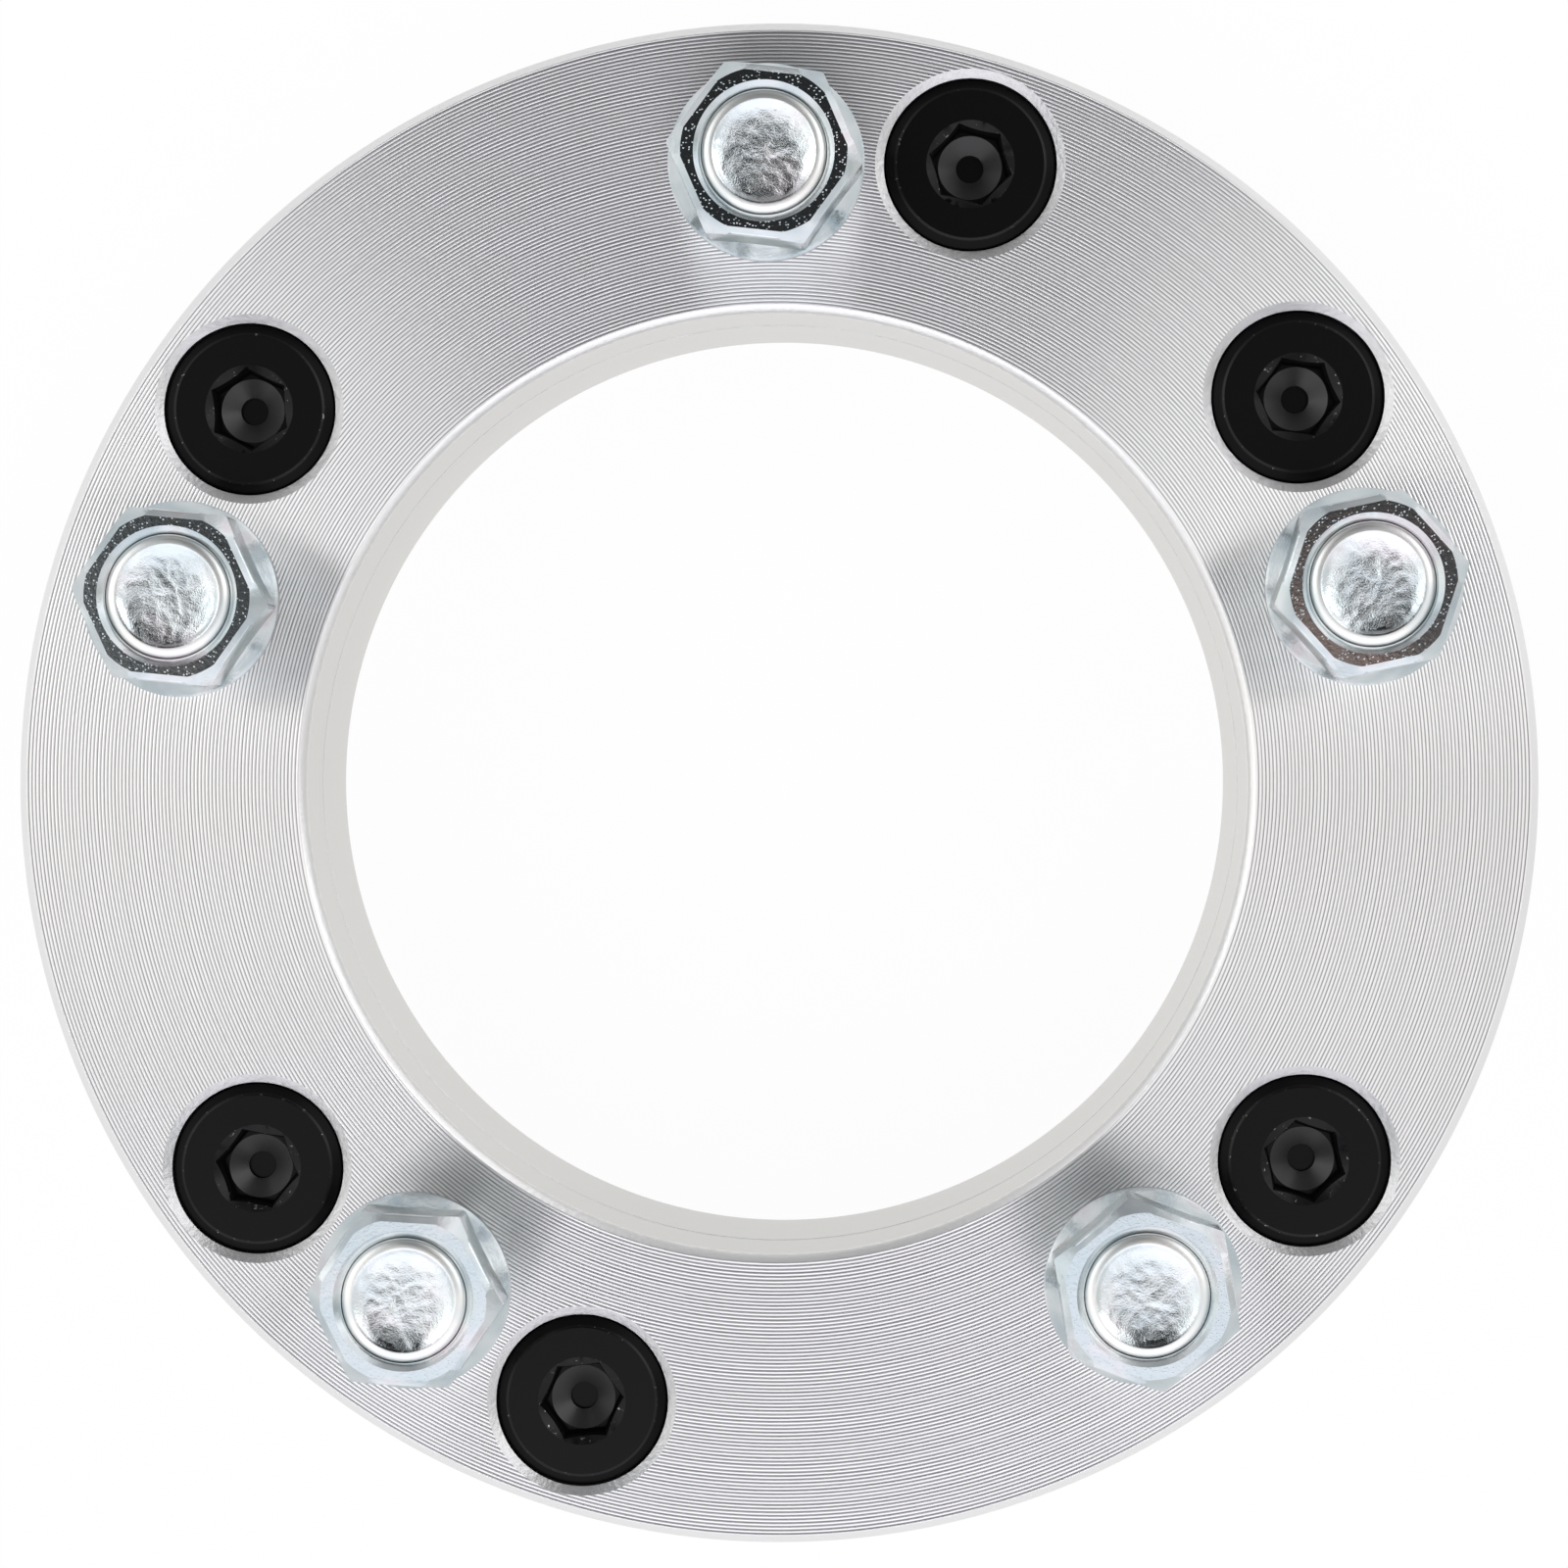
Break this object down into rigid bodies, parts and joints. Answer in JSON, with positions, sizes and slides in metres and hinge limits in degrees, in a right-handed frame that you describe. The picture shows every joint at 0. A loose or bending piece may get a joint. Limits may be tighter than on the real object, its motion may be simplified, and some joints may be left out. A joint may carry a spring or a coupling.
{
  "type": "wheel spacer",
  "caption": "Turned ring that moves a road wheel outwards, with pressed-in wheel studs, open lug nuts and sunk black socket nuts for the hub studs.",
  "frame": {"origin": "centre of the rear face, which lies on the hub", "axes": "+Z along the bore axis towards the wheel; +Y towards one wheel stud"},
  "size_m": [0.176, 0.176, 0.0583],
  "materials": {
    "turned_aluminium": "turned, with fine concentric grooves",
    "zinc_stud": "bright zinc plating",
    "zinc_nut": "bluish zinc plating",
    "black_nut": "black oxide, satin"
  },
  "bodies": {
    "root": {"spacer_ring": "turned_aluminium", "wheel_stud_1": "zinc_stud", "wheel_stud_2": "zinc_stud", "wheel_stud_3": "zinc_stud", "wheel_stud_4": "zinc_stud", "wheel_stud_5": "zinc_stud", "lug_nut_1": "zinc_nut", "lug_nut_2": "zinc_nut", "lug_nut_3": "zinc_nut", "lug_nut_4": "zinc_nut", "lug_nut_5": "zinc_nut", "hub_nut_1": "black_nut", "hub_nut_2": "black_nut", "hub_nut_3": "black_nut", "hub_nut_4": "black_nut", "hub_nut_5": "black_nut", "hub_nut_6": "black_nut"}
  },
  "joints": []
}
